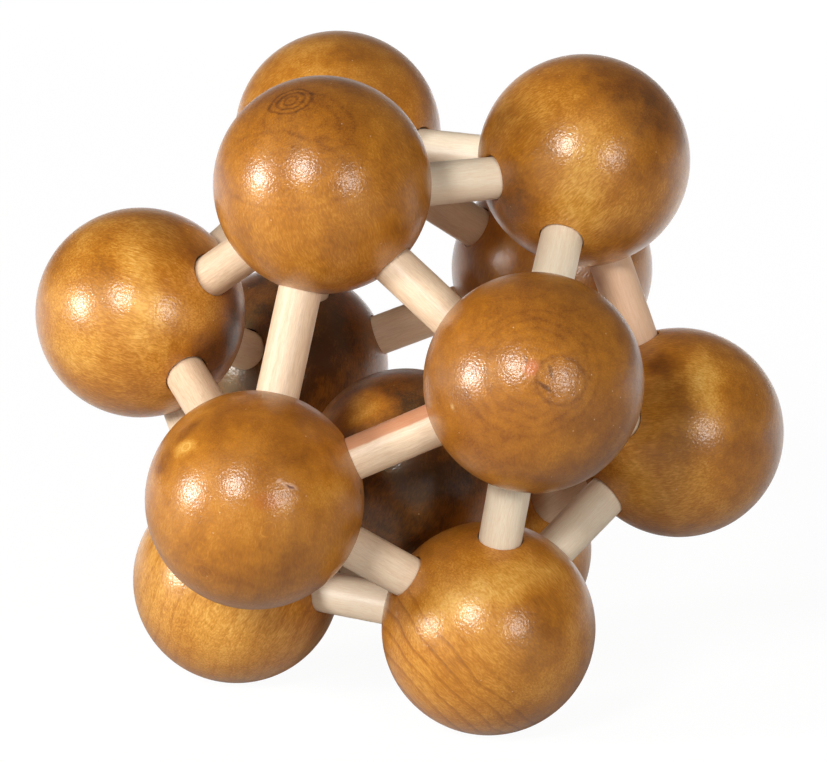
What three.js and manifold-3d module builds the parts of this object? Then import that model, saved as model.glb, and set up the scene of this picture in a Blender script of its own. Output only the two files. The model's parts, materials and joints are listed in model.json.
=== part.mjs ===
// A ball-and-dowel burr puzzle: twelve wooden balls at the corners of an icosahedron, thirty loose
// dowels along its edges, and a thirteenth ball caught inside. Millimetres, +Z up. The puzzle stands
// on three foot balls, with the origin on the floor below the middle of the cage.
import * as THREE from 'three';
import { mergeVertices } from 'three/addons/utils/BufferGeometryUtils.js';
import Module from 'manifold-3d';

const wasm = await Module();
wasm.setup();

// ---------------------------------------------------------------- driving dimensions
const ballRadius = 15;
const captiveRadius = 14.6;
const dowelRadius = 3;
const dowelChamfer = 0.5;
const cageEdge = 41.3; // between the centres of two neighbouring balls
const socketWall = 1.3; // left between the floors of two neighbouring sockets
const socketInset = 1.4; // the sockets of a ball aim at a point this far inside its centre

// Clearances.
const dowelSidePlay = 0.15; // all round a dowel in its socket
const dowelEndPlay = 1.5; // beyond each end of a dowel, where the cage is regular
const restGap = 0.2; // between the captive ball and each foot ball

// The dowels are loose, so these balls have settled away from their corners, by X, Y and Z.
const settled = {
  foot_ball_1: [0.5, 0, 0],
  foot_ball_3: [-0.5, 0, 0],
  lower_ball_3: [-0.5, 0.5, -3],
  upper_ball_1: [-1.5, 0, 0],
  upper_ball_2: [0.5, 0, 1.5],
  upper_ball_3: [0, 0, 0.5],
  top_ball_1: [0, 0, 0.5],
  top_ball_2: [0, 0, -0.5],
};

// The sockets of these dowels are drilled a little aside, by X, Y and Z.
const drilledAside = {
  foot_dowel_2: [-0.1, -0.1, -0.4],
  lower_upper_dowel_1: [-0.2, -0.1, -0.5],
  lower_upper_dowel_5: [0.1, 0, -0.2],
  lower_top_dowel_3: [-0.6, 0, 0.1],
  upper_top_dowel_2: [-0.6, -0.1, -0.6],
  upper_top_dowel_6: [0.2, 0, -0.3],
  top_dowel_1: [0, 0.1, 0.3],
  top_dowel_2: [0, 0, -0.2],
};

// Facets.
const ballDetail = 3;
const dowelSides = 12;

// ---------------------------------------------------------------- the cage, an icosahedron on a face
const golden = (1 + Math.sqrt(5)) / 2;
const triangleRadius = cageEdge / Math.sqrt(3);
const triangleHeight = golden ** 2 * triangleRadius / 2;
const ringRadius = golden * triangleRadius;
const ringHeight = triangleRadius / (2 * golden);
const cornerDistance = Math.hypot(triangleRadius, triangleHeight); // from the middle of the cage
const cageCentreZ = ballRadius + triangleHeight;

const layers = [
  { name: 'foot', radius: triangleRadius, height: -triangleHeight, firstAngle: -60 },
  { name: 'lower', radius: ringRadius, height: -ringHeight, firstAngle: 0 },
  { name: 'upper', radius: ringRadius, height: ringHeight, firstAngle: -60 },
  { name: 'top', radius: triangleRadius, height: triangleHeight, firstAngle: 0 },
];

// Three balls of one layer, 120 degrees apart about the upright axis.
function layerCorners(layer) {
  return [1, 2, 3].map((number) => {
    const name = `${layer.name}_ball_${number}`;
    const angle = THREE.MathUtils.degToRad(layer.firstAngle + 120 * (number - 1));
    const corner = new THREE.Vector3(
      layer.radius * Math.cos(angle),
      layer.radius * Math.sin(angle),
      layer.height,
    );
    const centre = corner.clone().add(new THREE.Vector3(...(settled[name] ?? [0, 0, 0])));
    const aim = centre.clone().addScaledVector(corner, -socketInset / cornerDistance);
    return { name, layer: layer.name, corner, centre, aim };
  });
}

// Every pair of neighbouring balls, each with the direction and middle of the dowel between them.
function cageEdges(balls) {
  const edges = [];
  const count = {};
  balls.forEach((low, index) => {
    for (const high of balls.slice(index + 1)) {
      if (Math.abs(low.corner.distanceTo(high.corner) - cageEdge) > cageEdge / 10) {
        continue;
      }
      const kind = low.layer === high.layer ? low.layer : `${low.layer}_${high.layer}`;
      count[kind] = (count[kind] ?? 0) + 1;
      const name = `${kind}_dowel_${count[kind]}`;
      const along = high.centre.clone().sub(low.centre).normalize();
      const aside = new THREE.Vector3(...(drilledAside[name] ?? [0, 0, 0]));
      edges.push({
        name,
        low,
        high,
        along,
        middle: low.aim.clone().add(high.aim).divideScalar(2).add(aside),
        halfSpan: low.aim.distanceTo(high.aim) / 2,
        turn: new THREE.Quaternion().setFromUnitVectors(THREE.Object3D.DEFAULT_UP, along),
      });
    }
  });
  return edges;
}

// ---------------------------------------------------------------- joining and cutting
const weldDistance = 1e-4;

function toSolid(geometry) {
  const bare = geometry.clone();
  bare.deleteAttribute('normal');
  bare.deleteAttribute('uv');
  const welded = mergeVertices(bare, weldDistance);
  return new wasm.Manifold(new wasm.Mesh({
    numProp: 3,
    vertProperties: new Float32Array(welded.attributes.position.array),
    triVerts: new Uint32Array(welded.index.array),
  }));
}

function toGeometry(solid) {
  const { vertProperties, triVerts } = solid.getMesh();
  const geometry = new THREE.BufferGeometry();
  geometry.setAttribute('position', new THREE.BufferAttribute(vertProperties, 3));
  geometry.setIndex(new THREE.BufferAttribute(triVerts, 1));
  geometry.computeVertexNormals();
  return geometry;
}

// ---------------------------------------------------------------- pieces
const socketRadius = dowelRadius + dowelSidePlay;
// Neighbouring sockets are 60 degrees apart, so their floors stay this far from where they aim.
const socketFloor = Math.sqrt(3) * socketRadius + socketWall;
const aimSpacing = cageEdge * (1 - socketInset / cornerDistance);
const dowelLength = aimSpacing - 2 * (socketFloor + dowelEndPlay);
// A round piece's flats touch its true radius, so its corners stand this much further out.
const cornerReach = 1 / Math.cos(Math.PI / dowelSides);

// The facet that looks along (-1, 1, 1) is turned down, and the ball is scaled to rest on it.
const facetDirection = new THREE.Vector3(-1, 1, 1).normalize();
const facetTurn = new THREE.Quaternion().setFromUnitVectors(facetDirection, new THREE.Vector3(0, 0, -1));

function ballGeometry(radius) {
  const geometry = new THREE.IcosahedronGeometry(1, ballDetail);
  geometry.applyQuaternion(facetTurn);
  geometry.computeBoundingBox();
  const facetDepth = -geometry.boundingBox.min.z;
  geometry.scale(radius / facetDepth, radius / facetDepth, radius / facetDepth);
  return geometry;
}

// A blind socket along one dowel, from its floor out through the ball's skin.
function socketGeometry(ball, edge) {
  const length = 2 * ballRadius - socketFloor;
  const outward = ball === edge.low ? 1 : -1;
  const back = outward * (socketFloor + length / 2 - edge.halfSpan);
  const middle = edge.middle.clone().addScaledVector(edge.along, back).sub(ball.centre);
  const radius = socketRadius * cornerReach;
  return new THREE.CylinderGeometry(radius, radius, length, dowelSides)
    .applyQuaternion(edge.turn)
    .translate(middle.x, middle.y, middle.z);
}

function drilledBallGeometry(ball, edges) {
  let solid = toSolid(ballGeometry(ballRadius));
  for (const edge of edges.filter(({ low, high }) => ball === low || ball === high)) {
    solid = solid.subtract(toSolid(socketGeometry(ball, edge)));
  }
  return toGeometry(solid);
}

function dowelGeometry() {
  const radius = dowelRadius * cornerReach;
  const end = dowelLength / 2;
  const profile = [
    new THREE.Vector2(0, -end),
    new THREE.Vector2(radius - dowelChamfer, -end),
    new THREE.Vector2(radius, -end + dowelChamfer),
    new THREE.Vector2(radius, end - dowelChamfer),
    new THREE.Vector2(radius - dowelChamfer, end),
    new THREE.Vector2(0, end),
  ];
  return new THREE.LatheGeometry(profile, dowelSides);
}

function stainedWood() {
  return new THREE.MeshStandardMaterial({ color: 0xa8692c, roughness: 0.35, metalness: 0 });
}

function paleWood() {
  return new THREE.MeshStandardMaterial({ color: 0xe6d0ae, roughness: 0.5, metalness: 0 });
}

function piece(name, geometry, material, place) {
  const mesh = new THREE.Mesh(geometry, material);
  mesh.name = name;
  mesh.position.copy(place);
  return mesh;
}

// How high the captive ball's centre rides when it rests on the three foot balls.
function captiveHeight() {
  const corners = ballGeometry(1).attributes.position;
  const reach = new THREE.Vector3().fromBufferAttribute(corners, 0).length();
  const apart = reach * (ballRadius + captiveRadius) + restGap;
  return Math.sqrt(apart ** 2 - triangleRadius ** 2) - triangleHeight;
}

// ---------------------------------------------------------------- assembly
const balls = layers.flatMap(layerCorners);
const edges = cageEdges(balls);

const cage = new THREE.Group();
cage.position.z = cageCentreZ;
for (const ball of balls) {
  cage.add(piece(ball.name, drilledBallGeometry(ball, edges), stainedWood(), ball.centre));
}
for (const edge of edges) {
  const dowel = piece(edge.name, dowelGeometry(), paleWood(), edge.middle);
  dowel.quaternion.copy(edge.turn);
  cage.add(dowel);
}
const captivePlace = new THREE.Vector3(0, 0, captiveHeight());
cage.add(piece('captive_ball', ballGeometry(captiveRadius), stainedWood(), captivePlace));

const group = new THREE.Group();
group.add(cage);

export default group;
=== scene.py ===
import json
import logging
import math
import random
from collections.abc import Callable
from dataclasses import dataclass, field
from enum import Enum

import bpy
from mathutils import Euler, Matrix, Vector


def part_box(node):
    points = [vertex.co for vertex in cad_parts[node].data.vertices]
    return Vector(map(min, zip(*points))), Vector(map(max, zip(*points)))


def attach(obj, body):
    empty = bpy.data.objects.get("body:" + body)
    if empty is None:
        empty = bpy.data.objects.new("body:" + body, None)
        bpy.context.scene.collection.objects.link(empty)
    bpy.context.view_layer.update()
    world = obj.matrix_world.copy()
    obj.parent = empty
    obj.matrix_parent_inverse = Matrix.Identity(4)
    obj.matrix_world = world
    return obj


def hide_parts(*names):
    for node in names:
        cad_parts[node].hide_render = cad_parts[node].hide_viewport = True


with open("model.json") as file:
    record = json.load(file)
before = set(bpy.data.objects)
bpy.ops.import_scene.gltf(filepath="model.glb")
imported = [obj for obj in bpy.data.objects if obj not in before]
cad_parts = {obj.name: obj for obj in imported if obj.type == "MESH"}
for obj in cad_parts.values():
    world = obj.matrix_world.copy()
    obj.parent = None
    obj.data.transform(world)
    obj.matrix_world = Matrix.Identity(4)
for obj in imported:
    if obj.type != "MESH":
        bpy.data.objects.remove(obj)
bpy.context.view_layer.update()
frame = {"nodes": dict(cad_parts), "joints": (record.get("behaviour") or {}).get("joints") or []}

log = logging.getLogger("burr_cage")

MM = 0.001
FULL_TURN = 6.28
RGB = tuple[float, float, float]
Triple = tuple[float, float, float]
Socket = bpy.types.NodeSocket


def tone(red: float, green: float, blue: float) -> tuple[float, float, float, float]:
    """Turns a colour in 0-255 display steps into the linear colour a shader reads.

    Args:
        red: Red step.
        green: Green step.
        blue: Blue step.

    Returns:
        Linear red, green, blue and an alpha of one.
    """
    steps = (c / 255.0 for c in (red, green, blue))
    linear = [c / 12.92 if c <= 0.04045 else ((c + 0.055) / 1.055) ** 2.4 for c in steps]
    return (linear[0], linear[1], linear[2], 1.0)


def frame_about(axis: Vector, side: Vector) -> Matrix:
    """Builds a turned frame whose Z runs along an axis.

    Args:
        axis: Direction for Z.
        side: Direction that X leans towards.

    Returns:
        A 3 by 3 matrix with the frame's axes as columns.
    """
    z = axis.normalized()
    x = (side - z * side.dot(z)).normalized()
    return Matrix((x, z.cross(x), z)).transposed()


def outward(azimuth: float, elevation: float) -> Vector:
    """Returns the unit direction that lies so many degrees round from the front and above the floor."""
    a, e = math.radians(azimuth), math.radians(elevation)
    return Vector((math.sin(a) * math.cos(e), -math.cos(a) * math.cos(e), math.sin(e)))


class Slot(Enum):
    """The record's material slots."""

    BALL = "stained_ball"
    DOWEL = "pale_dowel"


class Part(Enum):
    """What is picked in edit mode."""

    POINTS = "VERT"
    FACES = "FACE"


class Bench:
    """Lays shader nodes into one material and links them."""

    def __init__(self, name: str) -> None:
        """Starts an empty material of that name."""
        self.material = bpy.data.materials.new(name)
        self.material.use_nodes = True
        self.tree = self.material.node_tree
        self.tree.nodes.clear()

    def put(self, kind: str, inputs: dict, **settings: object) -> bpy.types.Node:
        """Adds one node.

        Args:
            kind: Blender's node type.
            inputs: Values or sockets to feed, by input name or number.
            **settings: Properties of the node.

        Returns:
            The node.
        """
        made = self.tree.nodes.new(kind)
        for key, value in settings.items():
            setattr(made, key, value)
        for key, value in inputs.items():
            if isinstance(value, Socket):
                self.tree.links.new(value, made.inputs[key])
            else:
                made.inputs[key].default_value = value
        return made

    def maths(self, operation: str, *values: object) -> Socket:
        """Adds a Math node and returns its result."""
        return self.put("ShaderNodeMath", dict(enumerate(values)), operation=operation).outputs[0]

    def total(self, start: object, *terms: tuple[object, object]) -> Socket:
        """Adds up a start value and weighted terms.

        Args:
            start: First value.
            *terms: Pairs of a value and its weight.

        Returns:
            The sum.
        """
        result = start
        for value, weight in terms:
            result = self.maths("MULTIPLY_ADD", value, weight, result)
        return result

    def vector(self, operation: str, *values: object) -> Socket:
        """Adds a Vector Math node and returns its vector."""
        return self.put("ShaderNodeVectorMath", dict(enumerate(values)), operation=operation).outputs[0]

    def length(self, vector: Socket) -> Socket:
        """Returns the length of a vector."""
        return self.put("ShaderNodeVectorMath", {0: vector}, operation="LENGTH").outputs[1]

    def smooth(self, value: object, low: float, high: float, start: float = 0.0, end: float = 1.0) -> Socket:
        """Eases a value from start at low to end at high, and holds it outside."""
        inputs = {"Value": value, "From Min": low, "From Max": high, "To Min": start, "To Max": end}
        return self.put("ShaderNodeMapRange", inputs, interpolation_type="SMOOTHSTEP").outputs[0]

    def noise(self, place: Socket, scale: float, detail: float = 2.0, roughness: float = 0.5) -> Socket:
        """Returns a noise field between 0 and 1."""
        inputs = {"Vector": place, "Scale": scale, "Detail": detail, "Roughness": roughness}
        return self.put("ShaderNodeTexNoise", inputs).outputs[0]

    def drift(self, place: Socket, scale: float, amount: float) -> Socket:
        """Moves a place about by a vector noise.

        Args:
            place: The place to move.
            scale: How fast the noise changes.
            amount: How far the place moves at most, in its own units.

        Returns:
            The moved place.
        """
        inputs = {"Vector": place, "Scale": scale, "Detail": 2.0}
        colour = self.put("ShaderNodeTexNoise", inputs).outputs[1]
        centred = self.vector("SUBTRACT", colour, (0.5, 0.5, 0.5))
        return self.vector("MULTIPLY_ADD", centred, (2 * amount,) * 3, place)

    def ramp(self, value: Socket, stops: tuple[tuple[float, RGB], ...]) -> Socket:
        """Turns a value into a colour, straight from stop to stop of display colours."""
        made = self.put("ShaderNodeValToRGB", {0: value})
        made.color_ramp.interpolation = "LINEAR"
        elements = made.color_ramp.elements
        while len(elements) < len(stops):
            elements.new(0.5)
        for element, (position, colour) in zip(elements, stops):
            element.position = position
            element.color = tone(*colour)
        return made.outputs[0]

    def mix(self, factor: object, low: object, high: object) -> Socket:
        """Mixes two colours."""
        return self.put("ShaderNodeMix", {0: factor, 6: low, 7: high}, data_type="RGBA").outputs[2]

    def bump(self, height: Socket, depth: float) -> Socket:
        """Turns a height field into a normal; a height of one stands for the depth, in metres."""
        return self.put("ShaderNodeBump", {"Height": height, "Distance": depth, "Strength": 1.0}).outputs[0]

    def where(self) -> Socket:
        """Returns the place on the piece, in metres."""
        return self.put("ShaderNodeTexCoord", {}).outputs["Object"]

    def grain_place(self, centre: Vector, turned: Matrix) -> Socket:
        """Returns the place on the piece in millimetres, with Z along the fibres."""
        return self.centred(self.where(), centre, turned, (MM,) * 3)

    def centred(self, place: Socket, centre: Vector, turned: Matrix, size: Triple) -> Socket:
        """Measures a place from a centre, in turned axes and in steps of a size.

        Args:
            place: The place.
            centre: Where the measure starts.
            turned: The axes, as columns.
            size: The step along each axis.

        Returns:
            The measured place.
        """
        inputs = {"Vector": place, "Location": centre, "Rotation": turned.to_euler(), "Scale": size}
        return self.put("ShaderNodeMapping", inputs, vector_type="TEXTURE").outputs[0]

    def finish(self, **inputs: object) -> None:
        """Closes the material with one Principled shader.

        Args:
            **inputs: Shader inputs, with underscores for spaces.
        """
        named = {key.replace("_", " "): value for key, value in inputs.items()}
        shader = self.put("ShaderNodeBsdfPrincipled", named)
        self.put("ShaderNodeOutputMaterial", {0: shader.outputs[0]})

    def cover(self, piece: bpy.types.Object) -> None:
        """Gives the material to a piece, in place of what it had."""
        piece.data.materials.clear()
        piece.data.materials.append(self.material)


@dataclass(frozen=True)
class Viewpoint:
    """Where the camera stands, and the directions that the front of the toy is described by."""

    azimuth: float = 1.73
    elevation: float = 13.57
    roll: float = 1.29
    distance: float = 0.6568
    aim: Triple = (0.0, 0.0, 0.046213)
    aim_right: float = 0.00053
    aim_up: float = -0.00096
    lens: float = 200.38

    def level_axes(self) -> tuple[Vector, Vector, Vector]:
        """Returns right, up and towards the viewer, before the camera is rolled."""
        back = outward(self.azimuth, self.elevation)
        level = (-back).cross(Vector((0, 0, 1))).normalized()
        return level, level.cross(-back), back

    def basis(self) -> Matrix:
        """Returns right, up and towards the viewer as the columns of a matrix."""
        level, up, back = self.level_axes()
        roll = math.radians(self.roll)
        right = level * math.cos(roll) + up * math.sin(roll)
        return Matrix((right, back.cross(right), back)).transposed()

    def eye(self) -> Vector:
        """Returns the camera's place."""
        level, up, back = self.level_axes()
        return Vector(self.aim) + level * self.aim_right + up * self.aim_up + back * self.distance

    def facing(self, centre: Vector, right: float, up: float, toward: float | None = None) -> Vector:
        """Turns a direction seen from the front of a ball into the row frame.

        Args:
            centre: The ball's centre.
            right: Share of the direction to the right.
            up: Share of the direction upwards.
            toward: Share towards the viewer; what is left of a unit length if not given.

        Returns:
            A unit direction.
        """
        if toward is None:
            toward = math.sqrt(max(0.0, 1.0 - right * right - up * up))
        back = (self.eye() - centre).normalized()
        x = self.basis().col[0]
        x = (x - back * x.dot(back)).normalized()
        y = back.cross(x)
        return (x * right + y * up + back * toward).normalized()


@dataclass(frozen=True)
class Seat:
    """Where a ball lies, how big it is in metres, and the view that its front is described by."""

    centre: Vector
    radius: float
    view: Viewpoint

    def facing(self, right: float, up: float, toward: float | None = None) -> Vector:
        """Turns a direction seen from the front of the ball into the row frame."""
        return self.view.facing(self.centre, right, up, toward)


@dataclass(frozen=True)
class StainAndPaintedLightMark:
    """A soft-edged patch that darkens or lightens the stain's depth. Most are stain that took lighter or
    darker; some are painted shade on balls that lie in the cage's shadow, and some pale bands are painted
    sheen where the fibres shimmer. Sizes are in millimetres.
    """

    right: float
    up: float
    wide: float
    high: float
    turn: float
    depth: float


@dataclass(frozen=True)
class Knot:
    """Rings round one place, as a knot or a growth line shows them. Sizes are in millimetres."""

    right: float
    up: float
    wide: float
    high: float
    turn: float
    depth: float
    rings: int = 1
    line: float = 0.2
    eye: float = 0.0


@dataclass(frozen=True)
class Spot:
    """A small patch of another colour. Sizes are in millimetres."""

    right: float
    up: float
    wide: float
    high: float
    turn: float
    colour: RGB
    strength: float = 0.6


@dataclass(frozen=True)
class StainedFinish:
    """Amber stain and satin lacquer on a turned ball.

    The depth runs from 0, palest, to 1, darkest, and stops turn it into colour; it carries the stain, and on
    some balls painted shade and painted sheen as well. Lengths are in millimetres, and waves are how many
    swings of a noise go into one, across the fibres and along them.
    The two heights are in metres.
    """

    seed: float
    grain: Triple = (0.2, 1.0, 0.3)
    side: Triple = (1.0, 0.0, 0.0)
    depth: float = 0.46
    blotch: float = 0.15
    streak: float = 0.1
    fleck: float = 0.13
    ring_step: float = 2.4
    ring: float = 0.02
    ring_from: float = 40.0
    ring_least: float = 0.15
    pith: tuple[float, float] = (26.0, 7.0)
    end_grain: float = 0.1
    sheen: float = 0.8
    marks: tuple[StainAndPaintedLightMark, ...] = ()
    knots: tuple[Knot, ...] = ()
    spots: tuple[Spot, ...] = ()

    patch_depth: float = 8.0
    blotch_waves: float = 0.11
    cloud_waves: float = 0.42
    cloud: float = 0.12
    fine_waves: Triple = (4.2, 4.2, 0.75)
    fleck_waves: Triple = (4.2, 4.2, 0.95)
    line_edges: Triple = (0.62, 0.92, 1.0)
    ring_fade: float = 5.0
    end_reach: tuple[float, float] = (0.62, 0.98)
    dust: RGB = (232, 196, 150)
    dust_size: tuple[float, float] = (0.03, 0.055)
    dust_strength: float = 0.45
    peel_waves: float = 2.9
    swell_waves: float = 0.8
    swell: float = 0.6
    lacquer_height: float = 5.2e-5
    fibre_height: float = 2.0e-5
    wander_waves: Triple = (2.4, 2.4, 0.9)
    wander: float = 0.9
    fibre_tint: Triple = (1.0, 0.68, 0.28)
    stops: tuple[tuple[float, RGB], ...] = (
        (0.0, (234, 184, 96)),
        (0.25, (213, 150, 60)),
        (0.5, (180, 112, 26)),
        (0.75, (136, 77, 18)),
        (1.0, (62, 32, 13)),
    )

    def dress(self, piece: bpy.types.Object, seat: Seat) -> None:
        """Makes this ball's material and gives it to the piece, which lies in that seat."""
        bench = Bench(f"stain_{piece.name}")
        fibre = seat.facing(*self.grain)
        place = bench.grain_place(seat.centre, frame_about(fibre, seat.facing(*self.side)))
        shifted = bench.vector("ADD", place, (self.seed * 37.1, self.seed * 11.7, self.seed * 53.3))
        bent = bench.drift(shifted, 0.09, 3.0)

        blotch = bench.noise(bent, self.blotch_waves, 3.0, 0.55)
        cloud = bench.noise(shifted, self.cloud_waves, 4.0, 0.62)
        fine = bench.noise(bench.vector("MULTIPLY", bent, self.fine_waves), 1.0, 3.0, 0.62)
        depth = bench.total(
            self.depth - 0.5 * (self.blotch + self.cloud + self.streak),
            (bench.smooth(blotch, 0.3, 0.7), self.blotch),
            (bench.smooth(cloud, 0.3, 0.7), self.cloud),
            (bench.smooth(fine, 0.28, 0.72), self.streak),
            (self.growth_lines(bench, place, shifted), self.ring),
            (self.end_darkness(bench, place, seat.radius), self.end_grain),
        )
        depth = self.add_stain_and_painted_light_marks(bench, depth, seat)
        depth = self.add_flecks(bench, depth, shifted)
        bare = self.add_spots(bench, bench.ramp(depth, self.stops), seat)
        dust = bench.put("ShaderNodeTexVoronoi", {"Vector": shifted, "Scale": 0.4}).outputs["Distance"]
        specks = bench.smooth(dust, *self.dust_size, self.dust_strength, 0.0)
        bare = bench.mix(specks, bare, tone(*self.dust))

        peel = bench.noise(shifted, self.peel_waves, 1.0, 0.5)
        swell = bench.noise(shifted, self.swell_waves, 1.0, 0.5)
        bench.finish(
            Base_Color=bare,
            Roughness=0.5,
            Specular_IOR_Level=self.sheen,
            Specular_Tint=(*self.fibre_tint, 1.0),
            Anisotropic=0.75,
            Tangent=self.wandering_fibre(bench, shifted, fibre),
            Normal=bench.bump(fine, self.fibre_height),
            Coat_Weight=1.0,
            Coat_Roughness=0.26,
            Coat_IOR=1.5,
            Coat_Normal=bench.bump(bench.total(0.0, (peel, 1.0), (swell, self.swell)), self.lacquer_height),
        )
        bench.cover(piece)

    def growth_lines(self, bench: Bench, place: Socket, shifted: Socket) -> Socket:
        """Draws the growth lines, as rings round the pith.

        Args:
            bench: Where nodes go.
            place: The place on the ball, with Z along the fibres.
            shifted: The same place moved by the seed.

        Returns:
            How much of a line there is, from 0 to 1.
        """
        start, peak, stop = self.line_edges
        flat = bench.vector("MULTIPLY", bench.drift(place, 0.12, 1.1), (1.0, 1.0, 0.0))
        spread = bench.length(bench.vector("SUBTRACT", flat, (*self.pith, 0.0)))
        phase = bench.maths("FRACT", bench.maths("DIVIDE", spread, self.ring_step))
        rise, fall = bench.smooth(phase, start, peak), bench.smooth(phase, peak, stop, 1.0, 0.0)
        line = bench.maths("MULTIPLY", rise, fall)
        faint = bench.smooth(bench.noise(shifted, 0.07, 1.0), 0.35, 0.65, self.ring_least, 1.0)
        across = bench.put("ShaderNodeSeparateXYZ", {0: place}).outputs[0]
        kept = bench.smooth(across, self.ring_from - self.ring_fade, self.ring_from, 1.0, 0.0)
        return bench.maths("MULTIPLY", bench.maths("MULTIPLY", line, faint), kept)

    def end_darkness(self, bench: Bench, place: Socket, radius: float) -> Socket:
        """Returns how far a point lies on end grain, which takes more stain, from 0 to 1."""
        along = bench.maths("ABSOLUTE", bench.put("ShaderNodeSeparateXYZ", {0: place}).outputs[2])
        low, high = self.end_reach
        return bench.smooth(along, radius / MM * low, radius / MM * high)

    def add_flecks(self, bench: Bench, depth: Socket, shifted: Socket) -> Socket:
        """Adds short curled flecks, which show more where the stain is pale.

        Args:
            bench: Where nodes go.
            depth: Depth so far.
            shifted: The place on the ball, with Z along the fibres.

        Returns:
            The depth with flecks.
        """
        curled = bench.drift(shifted, 0.4, 0.35)
        fleck = bench.noise(bench.vector("MULTIPLY", curled, self.fleck_waves), 1.0, 2.0, 0.6)
        golden = bench.smooth(depth, 0.2, 0.75, 1.0, 0.35)
        flecks = bench.maths("MULTIPLY", bench.maths("SUBTRACT", bench.smooth(fleck, 0.3, 0.7), 0.5), golden)
        return bench.total(depth, (flecks, self.fleck * 1.5))

    def wandering_fibre(self, bench: Bench, shifted: Socket, fibre: Vector) -> Socket:
        """Returns the direction of the fibres, which wanders and gives the wood its play of light."""
        waves = bench.vector("MULTIPLY", shifted, self.wander_waves)
        ripple = bench.put("ShaderNodeTexNoise", {"Vector": waves, "Scale": 1.0, "Detail": 2.0}).outputs[1]
        tilt = bench.vector("MULTIPLY", bench.vector("SUBTRACT", ripple, (0.5,) * 3), (self.wander,) * 3)
        return bench.vector("ADD", tilt, tuple(fibre))

    def patch(self, bench: Bench, loose: Socket, thing: StainAndPaintedLightMark | Knot | Spot, seat: Seat) -> Socket:
        """Measures how far a point lies from a patch's middle, with its edge at one.

        Args:
            bench: Where nodes go.
            loose: The place on the piece.
            thing: Says where the patch lies, how big it is and how it is turned.
            seat: Where the ball lies.

        Returns:
            The distance.
        """
        out = seat.facing(thing.right, thing.up)
        angle = math.radians(thing.turn)
        side = seat.facing(math.cos(angle), math.sin(angle), 0.0)
        size = (thing.wide * MM, thing.high * MM, max(self.patch_depth, thing.wide) * MM)
        middle = seat.centre + out * seat.radius
        return bench.length(bench.centred(loose, middle, frame_about(out, side), size))

    def add_stain_and_painted_light_marks(self, bench: Bench, depth: Socket, seat: Seat) -> Socket:
        """Adds this ball's own patches and rings to the depth: stain, painted shade and painted sheen.

        Args:
            bench: Where nodes go.
            depth: Depth so far.
            seat: Where the ball lies.

        Returns:
            The depth with marks.
        """
        loose = bench.drift(bench.where(), 210.0, 0.0016)
        for mark in self.marks:
            near = self.patch(bench, loose, mark, seat)
            depth = bench.total(depth, (bench.smooth(near, 0.25, 1.1, 1.0, 0.0), mark.depth))
        firm = bench.drift(bench.where(), 240.0, 0.0007)
        for knot in self.knots:
            near = self.patch(bench, firm, knot, seat)
            phase = bench.maths("FRACT", bench.maths("MULTIPLY_ADD", near, knot.rings, 0.5))
            off = bench.maths("ABSOLUTE", bench.maths("SUBTRACT", phase, 0.5))
            line = bench.smooth(off, 0.0, knot.line, 1.0, 0.0)
            edge = 0.4 / knot.rings
            line = bench.maths("MULTIPLY", line, bench.smooth(near, edge * 0.9, edge * 1.3))
            line = bench.maths("MULTIPLY", line, bench.smooth(near, 1.0 + edge * 0.9, 1.0 + edge, 1.0, 0.0))
            depth = bench.total(depth, (line, knot.depth))
            if knot.eye:
                depth = bench.total(depth, (bench.smooth(near, 0.0, 2 * edge, 1.0, 0.0), knot.eye))
        return depth

    def add_spots(self, bench: Bench, bare: Socket, seat: Seat) -> Socket:
        """Adds this ball's small patches of other colours.

        Args:
            bench: Where nodes go.
            bare: Colour so far.
            seat: Where the ball lies.

        Returns:
            The colour with spots.
        """
        if not self.spots:
            return bare
        loose = bench.drift(bench.where(), 700.0, 0.0004)
        for spot in self.spots:
            near = self.patch(bench, loose, spot, seat)
            bare = bench.mix(bench.smooth(near, 0.4, 1.1, spot.strength, 0.0), bare, tone(*spot.colour))
        return bare


@dataclass(frozen=True)
class Heart:
    """A stripe of red heartwood along one side of a dowel."""

    right: float
    up: float
    toward: float
    start: float
    colour: RGB = (192, 120, 76)
    softness: float = 0.12


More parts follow.
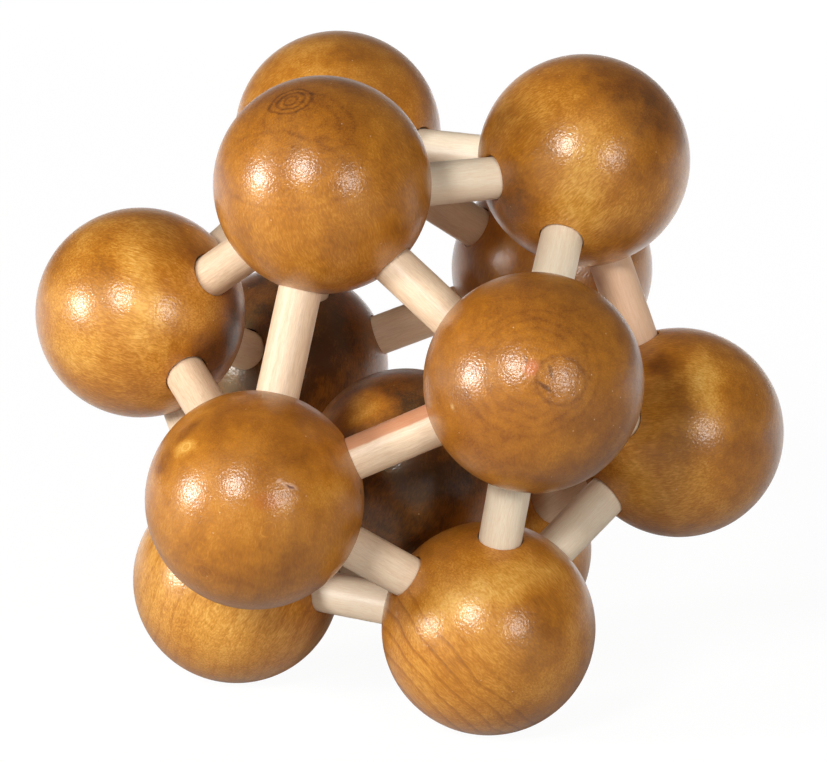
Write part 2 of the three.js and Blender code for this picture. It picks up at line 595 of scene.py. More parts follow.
@dataclass(frozen=True)
class PaleFinish:
    """Bare pale wood, rubbed to a low sheen. Its depth of colour runs from 0, palest, to 1, darkest."""

    seed: float
    depth: float = 0.5
    fibre: float = 0.22
    band: float = 0.1
    pink: float = 0.0
    heart: Heart | None = None

    shimmer: float = 0.12
    plain_side: Triple = (0.31, 0.22, 0.93)
    pink_tone: RGB = (226, 168, 128)
    fibre_height: float = 2.0e-5
    stops: tuple[tuple[float, RGB], ...] = (
        (0.0, (252, 238, 212)),
        (0.35, (239, 215, 184)),
        (0.7, (216, 184, 150)),
        (1.0, (176, 134, 94)),
    )

    def dress(self, piece: bpy.types.Object, centre: Vector, axis: Vector, view: Viewpoint) -> None:
        """Makes this dowel's material and gives it to the piece.

        Args:
            piece: The dowel.
            centre: Its middle in the row frame.
            axis: Its direction.
            view: Gives the directions that a stripe is placed by.
        """
        bench = Bench(f"pale_{piece.name}")
        side = Vector(self.plain_side)
        if self.heart is not None:
            side = view.facing(centre, self.heart.right, self.heart.up, self.heart.toward)
        place = bench.grain_place(centre, frame_about(axis, side))
        shifted = bench.vector("ADD", place, (self.seed * 17.3, self.seed * 29.9, self.seed * 7.7))
        bent = bench.drift(shifted, 0.3, 0.25)

        fine = bench.noise(bench.vector("MULTIPLY", bent, (6.5, 6.5, 0.32)), 1.0, 3.0, 0.6)
        thin = bench.noise(bench.vector("MULTIPLY", shifted, (9.0, 9.0, 0.9)), 1.0, 2.0, 0.6)
        band = bench.noise(bench.vector("MULTIPLY", bent, (0.9, 0.9, 0.03)), 1.0, 2.0, 0.5)
        depth = bench.total(
            self.depth - 0.5 * (self.fibre + self.band + self.shimmer),
            (bench.smooth(fine, 0.25, 0.75), self.fibre),
            (bench.smooth(band, 0.3, 0.7), self.band),
            (bench.smooth(thin, 0.3, 0.7), self.shimmer),
        )
        bare = bench.ramp(depth, self.stops)
        if self.pink:
            bare = bench.mix(self.pink, bare, tone(*self.pink_tone))
        if self.heart is not None:
            across = bench.put("ShaderNodeSeparateXYZ", {0: bench.drift(place, 0.5, 0.12)}).outputs[0]
            start, softness = self.heart.start, self.heart.softness
            mask = bench.smooth(across, start - softness, start + softness)
            streaked = bench.maths("MULTIPLY", mask, bench.smooth(fine, 0.2, 0.7, 0.95, 0.7))
            bare = bench.mix(streaked, bare, tone(*self.heart.colour))
        worn = bench.bump(bench.total(0.0, (fine, 0.6), (thin, 0.5)), self.fibre_height)
        bench.finish(
            Base_Color=bare,
            Roughness=0.5,
            Specular_IOR_Level=0.5,
            Coat_Weight=0.2,
            Coat_Roughness=0.3,
            Normal=worn,
            Coat_Normal=worn,
        )
        bench.cover(piece)


@dataclass
class CageFrame:
    """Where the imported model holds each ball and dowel. Sizes are in millimetres."""

    corner_radius: float = 15.271
    slacks: tuple[float, ...] = (0.12, 0.04, 0.012)
    rounds: int = 25
    reach: float = 25.0
    nest_rounds: int = 200
    middles: dict[str, Vector] = field(default_factory=dict)
    axes: dict[str, Vector] = field(default_factory=dict)
    centres: dict[str, Vector] = field(default_factory=dict)
    aims: dict[str, Vector] = field(default_factory=dict)
    held: dict[str, list[str]] = field(default_factory=dict)

    def read(self) -> "CageFrame":
        """Fills in the places from the loaded frame and returns itself."""
        joints = {joint["child"]: joint for joint in frame["joints"]}
        for name in frame["nodes"]:
            low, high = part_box(name)
            if "dowel" in name:
                self.middles[name] = (low + high) / 2
                self.axes[name] = Vector(joints[name]["axis"]).normalized()
            else:
                self.centres[name] = (low + high) / 2
        for name, rough in list(self.centres.items()):
            if name != "captive_ball":
                near = [d for d, m in self.middles.items() if (m - rough).length < self.reach * MM]
                self.held[name] = sorted(near)
                self.centres[name] = self.ball_centre(name, rough)
                self.aims[name] = self.meeting(near)
        return self

    def ball_centre(self, name: str, rough: Vector) -> Vector:
        """Finds a ball's true centre from the corners of its faceted skin, which all stand at one radius.

        Args:
            name: The ball's node.
            rough: The middle of its box, which its sockets may have pulled aside.

        Returns:
            The centre.
        """
        radius, centre = self.corner_radius * MM, rough.copy()
        points = [vertex.co for vertex in bpy.data.objects[name].data.vertices]
        for slack in self.slacks:
            for _ in range(self.rounds):
                skin = [p for p in points if abs((p - centre).length - radius) < slack * MM]
                steps = [p - (p - centre).normalized() * radius for p in skin]
                centre = sum(steps, Vector()) / len(steps)
        return centre

    def meeting(self, dowels: list[str]) -> Vector:
        """Finds the point closest to the axes of some dowels.

        Args:
            dowels: Their names.

        Returns:
            The point that the axes aim at.
        """
        whole, pull = Matrix(((0, 0, 0),) * 3), Vector((0, 0, 0))
        for dowel in dowels:
            d = self.axes[dowel]
            off = Matrix.Identity(3) - Matrix([[d[i] * d[j] for j in range(3)] for i in range(3)])
            whole += off
            pull += off @ self.middles[dowel]
        return whole.inverted() @ pull

    def nest(self, touch: float) -> Vector:
        """Finds where the captive ball comes to rest on the three foot balls.

        Args:
            touch: Distance between centres at contact, in millimetres.

        Returns:
            The captive ball's centre.
        """
        centre = self.centres["captive_ball"].copy()
        feet = [place for name, place in self.centres.items() if name.startswith("foot_ball")]
        for _ in range(self.nest_rounds):
            pushes = [(centre - foot).normalized() * (touch * MM - (centre - foot).length) for foot in feet]
            centre += sum(pushes, Vector()) * 0.5
        return centre


class Workshop:
    """Small bench operations shared by the makers."""

    @staticmethod
    def added(name: str, add: Callable[..., object], **shape: object) -> bpy.types.Object:
        """Deselects all, adds a primitive and names it.

        Args:
            name: The new object's name.
            add: The operator that adds it.
            **shape: The operator's settings.

        Returns:
            The new object.
        """
        bpy.ops.object.select_all(action="DESELECT")
        add(**shape)
        bpy.context.object.name = name
        return bpy.context.object

    @staticmethod
    def alone(piece: bpy.types.Object) -> None:
        """Selects one object and makes it active."""
        bpy.ops.object.select_all(action="DESELECT")
        piece.select_set(True)
        bpy.context.view_layer.objects.active = piece

    @staticmethod
    def copy(piece: bpy.types.Object, name: str) -> bpy.types.Object:
        """Copies an object with its own mesh, and selects the copy alone."""
        made = piece.copy()
        made.data = piece.data.copy()
        made.name = made.data.name = name
        bpy.context.scene.collection.objects.link(made)
        Workshop.alone(made)
        return made

    @staticmethod
    def apply_modifier(piece: bpy.types.Object, kind: str, **settings: object) -> None:
        """Adds a modifier, sets it and applies it."""
        modifier = piece.modifiers.new(kind.lower(), kind)
        for key, value in settings.items():
            setattr(modifier, key, value)
        bpy.context.view_layer.objects.active = piece
        bpy.ops.object.modifier_apply(modifier=modifier.name)

    @staticmethod
    def settle(piece: bpy.types.Object, place: Vector, turned: Matrix) -> None:
        """Brings a piece made in millimetres to its place in metres, and writes that into its mesh."""
        Workshop.alone(piece)
        piece.matrix_world = Matrix.Translation(place) @ turned.to_4x4() @ Matrix.Scale(MM, 4)
        bpy.context.view_layer.update()
        bpy.ops.object.transform_apply(location=True, rotation=True, scale=True)

    @staticmethod
    def scrap(piece: bpy.types.Object) -> None:
        """Removes a working object and its mesh."""
        mesh = piece.data
        bpy.data.objects.remove(piece)
        bpy.data.meshes.remove(mesh)

    @staticmethod
    def pick(piece: bpy.types.Object, part: Part, test: Callable[[object], bool]) -> None:
        """Selects the points or faces that pass a test, in edit mode.

        Args:
            piece: The object in edit mode.
            part: Points or faces.
            test: Takes a point or a face and says whether it is wanted.
        """
        bpy.ops.mesh.select_mode(type=part.value)
        bpy.ops.mesh.select_all(action="DESELECT")
        bpy.ops.object.mode_set(mode="OBJECT")
        items = piece.data.polygons if part is Part.FACES else piece.data.vertices
        for item in items:
            item.select = bool(test(item))
        bpy.ops.object.mode_set(mode="EDIT")


@dataclass
class BallWorks:
    """Turns the balls, bores their sockets and dresses them. Sizes are in millimetres."""

    radius: float = 14.97
    captive_radius: float = 14.57
    socket_radius: float = 3.13
    socket_floor: float = 6.756
    mouth_depth: float = 0.16
    mouth_flare: float = 0.14
    sanding: float = 0.006
    drill_point: float = 0.35
    drill_spare: float = 1.5
    tear: float = 0.035
    rest_gap: float = 0.03
    smooth_angle: float = 28.0
    finishes: dict[str, StainedFinish] = field(default_factory=dict)

    def blank(self) -> bpy.types.Object:
        """Turns one plain ball with the slight waviness of a sanded one."""
        ball = Workshop.added(
            "ball_blank", bpy.ops.mesh.primitive_ico_sphere_add, subdivisions=6, radius=self.radius,
        )
        bpy.ops.object.mode_set(mode="EDIT")
        bpy.ops.mesh.select_all(action="SELECT")
        bpy.ops.transform.vertex_random(offset=self.sanding, uniform=0.0, normal=1.0, seed=4)
        bpy.ops.mesh.vertices_smooth(factor=0.5, repeat=1)
        bpy.ops.object.mode_set(mode="OBJECT")
        return ball

    def drill(self) -> bpy.types.Object:
        """Shapes the tool that bores a socket, a rod with a drill's blunt point, lying outwards along Z."""
        top = self.radius + self.drill_spare
        tool = Workshop.added(
            "socket_drill", bpy.ops.mesh.primitive_cylinder_add, vertices=48, radius=self.socket_radius,
            depth=top - self.socket_floor, location=(0, 0, (top + self.socket_floor) / 2),
        )
        bpy.ops.object.transform_apply(location=True, rotation=True, scale=True)
        bpy.ops.object.mode_set(mode="EDIT")
        Workshop.pick(tool, Part.FACES, lambda f: f.normal.z < -0.9)
        bpy.ops.mesh.inset(thickness=self.socket_radius * 0.6)
        bpy.ops.transform.translate(value=(0, 0, -self.drill_point))
        bpy.ops.object.mode_set(mode="OBJECT")
        return tool

    def reamer(self) -> bpy.types.Object:
        """Shapes the tool that breaks a socket's sharp rim, a cone round Z with the skin at its middle."""
        reach = self.mouth_depth * 2
        slope = self.mouth_flare / self.mouth_depth
        tool = Workshop.added(
            "socket_reamer", bpy.ops.mesh.primitive_cylinder_add, vertices=64,
            radius=self.socket_radius + self.mouth_flare, depth=2 * reach, location=(0, 0, 0),
        )
        bpy.ops.object.mode_set(mode="EDIT")
        for up in (1, -1):
            Workshop.pick(tool, Part.POINTS, lambda v: v.co.z * up > reach * 0.9)
            grow = 1 + up * slope * reach / (self.socket_radius + self.mouth_flare)
            bpy.ops.transform.resize(value=(grow, grow, 1), center_override=(0, 0, 0))
        Workshop.pick(tool, Part.POINTS, lambda v: True)
        bpy.ops.transform.vertex_random(offset=self.tear, uniform=1.0, normal=0.0, seed=7)
        bpy.ops.object.mode_set(mode="OBJECT")
        return tool

    def bore(self, ball: bpy.types.Object, tool: bpy.types.Object, places: list[Matrix]) -> None:
        """Cuts copies of a tool out of a ball.

        Args:
            ball: The ball, centred on the origin.
            tool: The tool to copy.
            places: Where each copy goes; the copies don't meet.
        """
        copies = []
        for place in places:
            cut = Workshop.copy(tool, "cut")
            cut.matrix_world = place
            copies.append(cut)
        for cut in copies:
            cut.select_set(True)
        bpy.context.view_layer.objects.active = copies[0]
        bpy.ops.object.join()
        bpy.context.view_layer.update()
        joined = bpy.context.object
        Workshop.alone(ball)
        Workshop.apply_modifier(ball, "BOOLEAN", operation="DIFFERENCE", object=joined, solver="EXACT")
        Workshop.scrap(joined)

    def sockets(self, name: str, cage: CageFrame, dice: random.Random) -> tuple[list[Matrix], list[Matrix]]:
        """Works out where the drill and the reamer go in one ball.

        Args:
            name: The ball's node.
            cage: Places and axes.
            dice: Turns each tool about its axis, so that no two rims are torn alike.

        Returns:
            Places for the drill and places for the reamer, from the ball's centre, in millimetres.
        """
        drills, reamers = [], []
        for dowel in cage.held[name]:
            away = cage.middles[dowel] - cage.centres[name]
            axis = cage.axes[dowel] * (1 if away.dot(cage.axes[dowel]) > 0 else -1)
            side = Vector([dice.uniform(-1, 1) for _ in range(3)])
            line = (away - axis * away.dot(axis)) / MM
            start = line + axis * axis.dot(cage.aims[name] - cage.centres[name]) / MM
            drills.append(Matrix.Translation(start) @ frame_about(axis, side).to_4x4())
            mouth = line + axis * math.sqrt(self.radius**2 - line.length_squared)
            sink = self.radius - math.sqrt(self.radius**2 - self.socket_radius**2)
            ring = mouth - mouth.normalized() * sink
            reamers.append(Matrix.Translation(ring) @ frame_about(mouth, side).to_4x4())
        return drills, reamers

    def make(self, name: str, tools: dict[str, bpy.types.Object], cage: CageFrame,
             view: Viewpoint) -> bpy.types.Object:
        """Makes one ball, with a socket for each dowel it holds.

        Args:
            name: The CAD node it stands for.
            tools: The blank, the drill and the reamer.
            cage: Places and axes.
            view: Gives the directions that marks are placed by.

        Returns:
            The finished ball.
        """
        ball = Workshop.copy(tools["blank"], f"{name}_turned")
        dice = random.Random(name)
        ball.rotation_euler = Euler([dice.uniform(0, FULL_TURN) for _ in range(3)])
        if name in cage.held:
            centre = cage.centres[name]
            bpy.ops.object.transform_apply(location=True, rotation=True, scale=True)
            drills, reamers = self.sockets(name, cage, dice)
            self.bore(ball, tools["drill"], drills)
            self.bore(ball, tools["reamer"], reamers)
        else:
            centre = cage.nest(self.radius + self.captive_radius + self.rest_gap)
            ball.scale = (self.captive_radius / self.radius,) * 3
            bpy.ops.object.transform_apply(location=True, rotation=True, scale=True)
        Workshop.settle(ball, centre, Matrix.Identity(3))
        bpy.ops.object.shade_smooth_by_angle(angle=math.radians(self.smooth_angle))
        self.finishes[name].dress(ball, Seat(centre, self.radius * MM, view))
        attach(ball, name)
        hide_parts(name)
        return ball


@dataclass
class DowelWorks:
    """Cuts the dowels, eases their ends and dresses them. Sizes are in millimetres."""

    radius: float = 3.0
    length: float = 23.3
    end_bevel: float = 0.5
    end_ring: float = 0.9
    steps: int = 16
    flats: float = 0.012
    drop: float = 0.09
    smooth_angle: float = 35.0
    spare_depths: tuple[float, float] = (0.3, 0.46)
    finishes: dict[str, PaleFinish] = field(default_factory=dict)

    def blank(self) -> bpy.types.Object:
        """Cuts one dowel along Z, with eased ends and the faint flats of a drawn rod."""
        rod = Workshop.added(
            "dowel_blank", bpy.ops.mesh.primitive_cylinder_add, vertices=56, radius=self.radius,
            depth=self.length, location=(0, 0, 0),
        )
        half = self.length / 2
        bpy.ops.object.mode_set(mode="EDIT")
        Workshop.pick(rod, Part.FACES, lambda f: abs(f.normal.z) > 0.9)
        bpy.ops.mesh.bevel(offset=self.end_bevel, segments=3, affect="EDGES")
        Workshop.pick(rod, Part.FACES, lambda f: abs(f.normal.z) > 0.99)
        for _ in range(2):
            bpy.ops.mesh.inset(thickness=self.end_ring)
        for step in range(1, self.steps):
            height = -half + self.length * step / self.steps
            bpy.ops.mesh.select_all(action="SELECT")
            bpy.ops.mesh.bisect(plane_co=(0, 0, height), plane_no=(0, 0, 1), threshold=1e-5)
        Workshop.pick(rod, Part.POINTS, lambda v: abs(v.co.z) < half - 2 * self.end_bevel)
        bpy.ops.transform.vertex_random(offset=self.flats, uniform=0.0, normal=1.0, seed=3)
        bpy.ops.object.mode_set(mode="OBJECT")
        return rod

    def make(self, name: str, blank: bpy.types.Object, cage: CageFrame, view: Viewpoint) -> bpy.types.Object:
        """Makes one dowel, lying on the low side of its two sockets.

        Args:
            name: The CAD node it stands for.
            blank: The plain dowel.
            cage: Places and axes.
            view: Gives the directions that a stripe is placed by.

        Returns:
            The finished dowel.
        """
        axis, middle = cage.axes[name], cage.middles[name]
        rod = Workshop.copy(blank, f"{name}_rod")
        dice = random.Random(name)
        side = Vector((dice.uniform(-1, 1), dice.uniform(-1, 1), dice.uniform(-1, 1)))
        down = Vector((0, 0, -1))
        down = down - axis * down.dot(axis)
        sag = down * self.drop * MM
        Workshop.settle(rod, middle + sag, frame_about(axis, side))
        bpy.ops.object.shade_smooth_by_angle(angle=math.radians(self.smooth_angle))
        seed, depth = dice.uniform(0, 20), dice.uniform(*self.spare_depths)
        finish = self.finishes.get(name) or PaleFinish(seed=seed, depth=depth)
        finish.dress(rod, middle, axis, view)
        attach(rod, name)
        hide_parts(name)
        return rod


@dataclass(frozen=True)
class SoftBox:
    """A round soft light, placed by how far round and above the toy it stands."""

    name: str
    azimuth: float
    elevation: float
    power: float
    radius: float = 0.14
    distance: float = 1.2
    mirrored: bool = True

    def place(self, aim: Vector) -> None:
        """Hangs the light and points it at the toy."""
        out = outward(self.azimuth, self.elevation)
        bpy.ops.object.light_add(type="AREA", location=aim + out * self.distance)
        lamp = bpy.context.object
        lamp.name = self.name
        lamp.rotation_mode = "QUATERNION"
        lamp.rotation_quaternion = (-out).to_track_quat("-Z", "Y")
        lamp.data.shape = "DISK"
        lamp.data.size = 2 * self.radius
        lamp.data.energy = self.power
        lamp.visible_camera = False
        lamp.visible_glossy = self.mirrored


@dataclass
class Studio:
    """Pale floor, round soft lights, a dim surround with a bright panel behind, and the camera."""

    view: Viewpoint
    surround: float = 0.1
    panel: float = 0.75
    panel_edge: float = 0.8
    panel_core: float = 0.97
    bounce: float = 0.5
    floor_glow: float = 0.95
    shadow: float = 0.08
    sweep: tuple[float, float] = (0.0, 0.16)
    floor_size: float = 8.0
    sensor: float = 36.0
    clip: tuple[float, float] = (0.01, 50.0)
    boxes: tuple[SoftBox, ...] = (
        SoftBox("box_left", -67.0, 10.0, 11.0, radius=0.15),
        SoftBox("box_front", -21.0, 27.0, 8.6, radius=0.125),
        SoftBox("box_right", 31.0, 15.0, 4.0),
        SoftBox("box_back", 172.0, 8.0, 5.0, mirrored=False),
        SoftBox("box_far_right", 120.0, 6.0, 2.2, mirrored=False),
    )

    def build(self) -> None:
        """Sets everything up."""
        self.lay_floor()
        self.light()
        self.stand_camera()
        bpy.context.scene.view_settings.view_transform = "Standard"

    def lay_floor(self) -> None:
        """Lays a pale floor that looks evenly white, with only a breath of shadow.

        What the toy mirrors of it is dimmer, so that the balls keep dark sides, and brighter at the rear.
        """
        floor = Workshop.added(
            "studio_floor", bpy.ops.mesh.primitive_plane_add, size=self.floor_size, location=(0, 0, 0),
        )
        bench = Bench("pale_floor")
        seen = bench.put("ShaderNodeLightPath", {}).outputs["Is Camera Ray"]
        place = bench.put("ShaderNodeTexCoord", {}).outputs["Object"]
        depth = bench.put("ShaderNodeSeparateXYZ", {0: place}).outputs[1]
        near, far = self.sweep
        rear = bench.smooth(depth, near, far, 0.0, self.panel)
        shades = [(level, level, level, 1.0) for level in (self.bounce, self.shadow)]
        paint = bench.put("ShaderNodeBsdfDiffuse", {"Color": bench.mix(seen, *shades)})
        unseen = bench.maths("MULTIPLY", seen, rear)
        strength = bench.total(rear, (seen, self.floor_glow), (unseen, -1.0))
        glow = bench.put("ShaderNodeEmission", {"Strength": strength})
        whole = bench.put("ShaderNodeAddShader", {0: paint.outputs[0], 1: glow.outputs[0]})
        bench.put("ShaderNodeOutputMaterial", {0: whole.outputs[0]})
        floor.data.materials.append(bench.material)

    def light(self) -> None:
        """Hangs the soft lights and sets the surround, dim but for the backdrop behind the toy."""
        for box in self.boxes:
            box.place(Vector(self.view.aim))
        world = bpy.data.worlds.new("surround")
        world.use_nodes = True
        tree = world.node_tree
        link = tree.links.new
        backdrop = tree.nodes["Background"]
        way = tree.nodes.new("ShaderNodeTexCoord").outputs["Generated"]
        facing = tree.nodes.new("ShaderNodeVectorMath")
        facing.operation = "DOT_PRODUCT"
        facing.inputs[1].default_value = -self.view.basis().col[2]
        link(way, facing.inputs[0])
        zone = tree.nodes.new("ShaderNodeMapRange")
        zone.interpolation_type = "SMOOTHSTEP"
        limits = {
            "From Min": self.panel_edge, "From Max": self.panel_core,
            "To Min": self.surround, "To Max": self.panel,
        }
        for key, value in limits.items():
            zone.inputs[key].default_value = value
        link(facing.outputs["Value"], zone.inputs["Value"])
        seen = tree.nodes.new("ShaderNodeLightPath").outputs["Is Camera Ray"]
        strength = tree.nodes.new("ShaderNodeMix")
        strength.inputs[3].default_value = 1.0
        link(seen, strength.inputs[0])
        link(zone.outputs[0], strength.inputs[2])
        link(strength.outputs[0], backdrop.inputs["Strength"])
        backdrop.inputs["Color"].default_value = (1, 1, 1, 1)
        bpy.context.scene.world = world

    def stand_camera(self) -> None:
        """Stands the camera at the toy's front."""
        bpy.ops.object.camera_add(location=self.view.eye())
        camera = bpy.context.object
        camera.name = "front_camera"
        camera.rotation_euler = self.view.basis().to_euler()
        camera.data.lens = self.view.lens
        camera.data.sensor_width = self.sensor
        camera.data.clip_start, camera.data.clip_end = self.clip
        bpy.context.scene.camera = camera


def ball_finishes() -> dict[str, StainedFinish]:
    """Returns each ball's own finish, by CAD node."""
    pale_crack, ember = (214, 170, 140), (190, 104, 58)
    return {
        "top_ball_3": StainedFinish(
            seed=1.0, grain=(-0.25, 0.77, 0.587), depth=0.54, blotch=0.1, streak=0.16, fleck=0.08, ring=0.0,
            sheen=0.6,
            marks=(StainAndPaintedLightMark(0.3, -0.75, 9, 5, 20, -0.08), StainAndPaintedLightMark(0.0, 0.2, 8, 4, -40, 0.05)),
            knots=(
                Knot(-0.28, 0.76, 3.0, 2.5, 0, 0.17, rings=3, line=0.42, eye=0.12),
                Knot(-0.12, 0.6, 6.5, 4.6, -30, 0.05, rings=3, line=0.35),
                Knot(-0.42, 0.13, 10.4, 5.2, -8, 0.07, rings=1, line=0.1),
            ),
        ),
        "top_ball_2": StainedFinish(
            seed=2.0, grain=(0.5, 0.6, 0.3), depth=0.44, marks=(StainAndPaintedLightMark(0.15, 0.75, 6, 3, 0, 0.14),),
        ),
        "top_ball_1": StainedFinish(
            seed=3.0, grain=(0.72, 0.62, 0.3), side=(-0.6, 0.7, 0.2), depth=0.5, blotch=0.2, fleck=0.16,
            marks=(
                # The first patch here, a narrow pale upright band, is painted sheen where the fibres
                # shimmer.
                StainAndPaintedLightMark(0.0, -0.1, 5, 12, -12, -0.24), StainAndPaintedLightMark(0.5, 0.55, 9, 8, -30, 0.15),
                StainAndPaintedLightMark(-0.68, -0.35, 5, 7, 0, 0.22),
                StainAndPaintedLightMark(-0.35, 0.5, 6, 5, 30, -0.1), StainAndPaintedLightMark(0.7, 0.0, 5, 10, 0, 0.13),
                StainAndPaintedLightMark(0.35, -0.45, 6, 3, 20, -0.12),
            ),
        ),
        "upper_ball_3": StainedFinish(
            seed=4.0, grain=(0.9, -0.3, 0.15), side=(0.2, 0.9, 0.1), depth=0.46, blotch=0.18, fleck=0.17,
            marks=(
                # The narrow pale upright band first in this list is painted sheen where the fibres shimmer;
                # the dark patches to the right, at (0.6, -0.45), (0.6, 0.5) and (0.88, -0.1), are painted
                # shade between the dowels.
                StainAndPaintedLightMark(0.0, 0.2, 4, 12, 8, -0.24), StainAndPaintedLightMark(0.6, -0.45, 6, 7, 30, 0.3),
                StainAndPaintedLightMark(-0.35, 0.45, 4, 8, 10, 0.1),
                StainAndPaintedLightMark(0.6, 0.5, 6, 4.5, -40, 0.22), StainAndPaintedLightMark(0.88, -0.1, 3.5, 8, 0, 0.3),
                StainAndPaintedLightMark(-0.6, -0.35, 5, 5, 0, -0.12),
            ),
            knots=(Knot(0.75, -0.3, 8.5, 8.0, 0, 0.06, rings=2, line=0.12),),
        ),
        # Painted shade: this ball lies in the cage's shadow, and a ball-wide patch darkens its whole front
        # half.
        "upper_ball_2": StainedFinish(
            seed=5.0, grain=(0.2, 0.9, 0.1), depth=0.52, fleck=0.06, marks=(StainAndPaintedLightMark(0.0, 0.0, 23, 23, 0,
            0.14),),
        ),
        "upper_ball_1": StainedFinish(
            seed=6.0, grain=(0.02, 0.14, 1.0), depth=0.65, blotch=0.1, fleck=0.09, ring=0.0, end_grain=0.0,
            sheen=0.5,
            marks=(StainAndPaintedLightMark(0.15, -0.65, 9, 4, 10, -0.1), StainAndPaintedLightMark(0.0, 0.12, 7, 6, 0, -0.05)),
            knots=(
                Knot(-0.02, 0.1, 9.5, 8.6, 10, 0.05, rings=6, line=0.35, eye=-0.06),
                Knot(0.24, 0.02, 3.4, 3.2, 0, 0.12, rings=1, line=0.16),
            ),
            spots=(
                Spot(-0.02, 0.13, 1.5, 1.2, 60, ember, 0.85), Spot(0.1, -0.04, 1.6, 0.4, -35, (92, 50, 28),
                0.8),
                Spot(0.15, 0.1, 0.35, 1.1, 10, (96, 54, 30), 0.7),
                Spot(-0.07, 0.2, 0.3, 0.9, 25, (110, 62, 34), 0.6),
                Spot(-0.72, -0.22, 0.45, 0.45, 0, (196, 150, 90), 0.7),
            ),
        ),
        "lower_ball_1": StainedFinish(
            seed=7.0, grain=(0.9, 0.1, 0.3), side=(0.0, 1.0, 0.0), depth=0.5, blotch=0.2, fleck=0.15,
            marks=(
                StainAndPaintedLightMark(0.25, 0.45, 3.2, 9, 5, -0.24), StainAndPaintedLightMark(-0.13, 0.63, 3.4, 2.6, 0, 0.2),
                StainAndPaintedLightMark(0.62, 0.3, 6, 5, 0, 0.12),
                StainAndPaintedLightMark(-0.4, -0.55, 6, 7, 40, -0.12), StainAndPaintedLightMark(0.55, -0.3, 5, 9, 0, 0.14),
                StainAndPaintedLightMark(0.05, -0.15, 5, 3, 0, 0.08),
            ),
        ),
        # Painted shade: this ball lies deep in the cage's shadow, so its depth is set dark and a ball-wide
        # patch darkens its whole front half further.
        "lower_ball_2": StainedFinish(
            seed=8.0, grain=(0.2, 0.9, 0.2), depth=0.6, marks=(StainAndPaintedLightMark(0.0, 0.0, 23, 23, 0, 0.4),),
        ),
        "lower_ball_3": StainedFinish(
            seed=9.0, grain=(0.1, 0.6, 0.7), depth=0.54, blotch=0.12, fleck=0.07, ring=0.03, sheen=0.6,
            marks=(
                StainAndPaintedLightMark(-0.63, 0.45, 2.8, 2.0, 0, -0.34), StainAndPaintedLightMark(-0.6, 0.62, 2.8, 1.8, 30, 0.16),
                StainAndPaintedLightMark(-0.8, 0.34, 2.6, 2.0, 0, 0.17), StainAndPaintedLightMark(0.66, 0.08, 4, 3, 20, -0.16),
                StainAndPaintedLightMark(-0.15, 0.55, 9, 5, 10, -0.07), StainAndPaintedLightMark(0.0, -0.6, 11, 6, 0, 0.08),
                StainAndPaintedLightMark(0.33, 0.2, 6, 4, 0, -0.06),
            ),
            knots=(
                Knot(-0.62, 0.47, 0.7, 0.6, 0, -0.16, rings=1, line=0.3),
                Knot(-0.5, -0.46, 1.3, 1.3, 0, -0.07, rings=1, line=0.14),
                Knot(-0.46, -0.66, 1.7, 1.5, 0, -0.08, rings=2, line=0.2),
                Knot(0.12, -0.26, 1.0, 1.0, 0, -0.07, rings=1, line=0.15),
            ),
            spots=(
                Spot(0.31, 0.13, 1.6, 0.6, -20, pale_crack, 0.6),
                Spot(0.32, 0.12, 0.95, 0.28, -25, (96, 44, 26), 0.9),
                Spot(0.22, 0.17, 0.5, 0.3, 30, pale_crack, 0.6),
                Spot(0.1, -0.02, 2.6, 1.5, 0, (176, 88, 30), 0.35),
                Spot(0.96, 0.08, 0.5, 0.6, 0, (96, 56, 30), 0.7),
            ),
        ),
        "foot_ball_1": StainedFinish(
            seed=10.0, grain=(-0.68, 0.73, 0.1), side=(0.65, 0.75, 0.0), depth=0.46, blotch=0.1, fleck=0.14,
            ring=0.2, ring_step=2.1, ring_from=-1.0, ring_least=0.7, pith=(-50.0, 0.0),
            marks=(
                # The first patch here, a long pale band rising to the right, is painted sheen where the
                # fibres shimmer.
                StainAndPaintedLightMark(-0.1, 0.33, 15, 3.8, 26, -0.27), StainAndPaintedLightMark(0.5, -0.05, 6, 8, 0, 0.17),
                StainAndPaintedLightMark(0.33, -0.78, 4, 3, 0, 0.14),
                StainAndPaintedLightMark(0.1, 0.85, 8, 3, 0, 0.12), StainAndPaintedLightMark(-0.7, -0.4, 5, 9, 20, -0.06),
            ),
        ),
        "foot_ball_2": StainedFinish(seed=11.0, grain=(0.3, 0.9, 0.1), depth=0.48),
        "foot_ball_3": StainedFinish(
            seed=12.0, grain=(0.45, 0.85, 0.1), side=(-0.85, 0.45, 0.0), depth=0.34, blotch=0.12, fleck=0.16,
            ring=0.11, ring_step=2.0, ring_least=0.5, pith=(60.0, 0.0),
            marks=(StainAndPaintedLightMark(-0.1, -0.3, 7, 5, 0, -0.1), StainAndPaintedLightMark(0.75, -0.2, 5, 8, 0, 0.2),
                StainAndPaintedLightMark(0.2, -0.75, 6, 4, 0, 0.06)),
            knots=(Knot(-0.1, -0.3, 3.6, 2.6, 20, 0.08, rings=3, line=0.3),),
        ),
        # Painted shade and light: this ball sits in the cage's shadow, so its depth is set dark and a
        # ball-wide patch darkens its front half; the pale patch at upper left is a painted pool of light
        # falling in through the cage.
        "captive_ball": StainedFinish(
            seed=13.0, grain=(0.3, 0.8, 0.4), depth=0.66,
            marks=(StainAndPaintedLightMark(0.0, 0.0, 23, 23, 0, 0.28), StainAndPaintedLightMark(-0.42, 0.6, 6, 5, 0, -0.55)),
        ),
    }


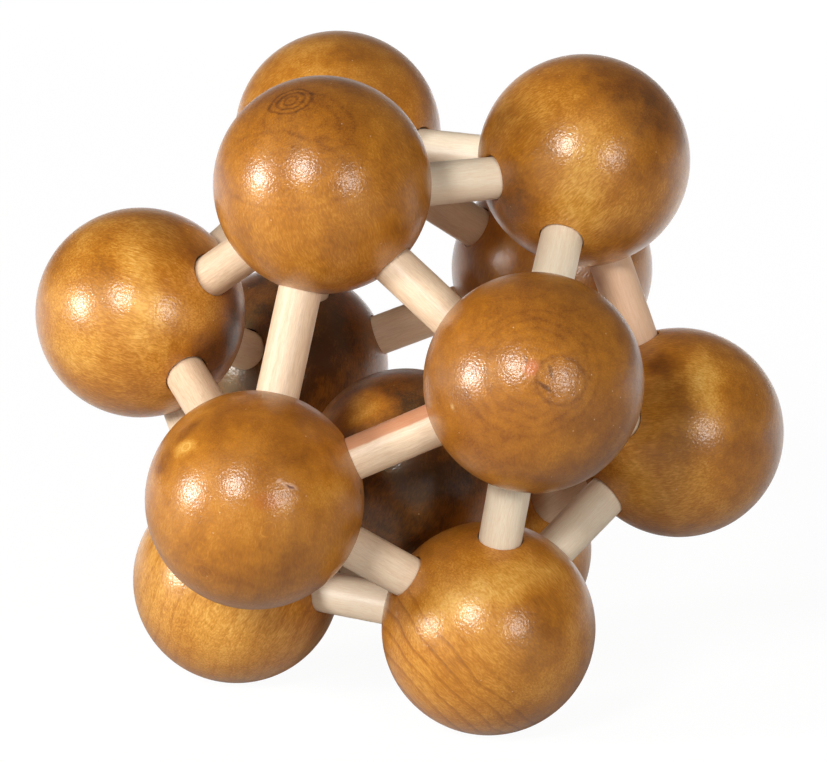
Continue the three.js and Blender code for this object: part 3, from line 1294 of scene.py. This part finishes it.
def dowel_finishes() -> dict[str, PaleFinish]:
    """Returns the finishes of the dowels that differ from the rest, by CAD node; most of them differ only in
    depth, set by how light falls on them: darker wood on dowels that the lamps light fully, paler wood on
    dowels in shade.
    """
    return {
        # Darker wood on the dowels that the lamps light fully, a painted shade that evens them with the
        # rest.
        "lower_upper_dowel_5": PaleFinish(seed=3.0, depth=0.56, heart=Heart(0.0, 1.0, 0.25, 1.7)),
        "lower_upper_dowel_6": PaleFinish(seed=7.0, depth=0.62),
        "lower_top_dowel_3": PaleFinish(seed=9.0, depth=0.56),
        "upper_top_dowel_2": PaleFinish(seed=11.0, depth=0.56),
        "upper_top_dowel_6": PaleFinish(seed=13.0, depth=0.6),
        # Paler wood on the dowels below, down to foot_dowel_2, which lie in shade: a painted light that
        # evens them with the rest.
        "upper_top_dowel_1": PaleFinish(seed=15.0, depth=0.18),
        "top_dowel_1": PaleFinish(seed=17.0, depth=0.14),
        "top_dowel_2": PaleFinish(seed=19.0, depth=0.2),
        "foot_upper_dowel_1": PaleFinish(seed=21.0, depth=0.14),
        "foot_lower_dowel_1": PaleFinish(seed=23.0, depth=0.18),
        "foot_lower_dowel_2": PaleFinish(seed=25.0, depth=0.38),
        "foot_dowel_2": PaleFinish(seed=27.0, depth=0.2),
        "lower_top_dowel_1": PaleFinish(seed=5.0, pink=0.45),
    }


def main() -> None:
    """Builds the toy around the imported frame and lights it."""
    logging.basicConfig(level=logging.INFO, format="%(name)s: %(message)s")
    view = Viewpoint()
    cage = CageFrame().read()
    balls = BallWorks(finishes=ball_finishes())
    tools = {"blank": balls.blank(), "drill": balls.drill(), "reamer": balls.reamer()}
    for name in sorted(cage.centres):
        made = balls.make(name, tools, cage, view)
        log.info("%s: %d faces", made.name, len(made.data.polygons))
    for tool in tools.values():
        Workshop.scrap(tool)
    dowels = DowelWorks(finishes=dowel_finishes())
    blank = dowels.blank()
    for name in sorted(cage.middles):
        made = dowels.make(name, blank, cage, view)
        log.info("%s: %d faces", made.name, len(made.data.polygons))
    Workshop.scrap(blank)
    Studio(view).build()


if __name__ == "__main__":
    main()
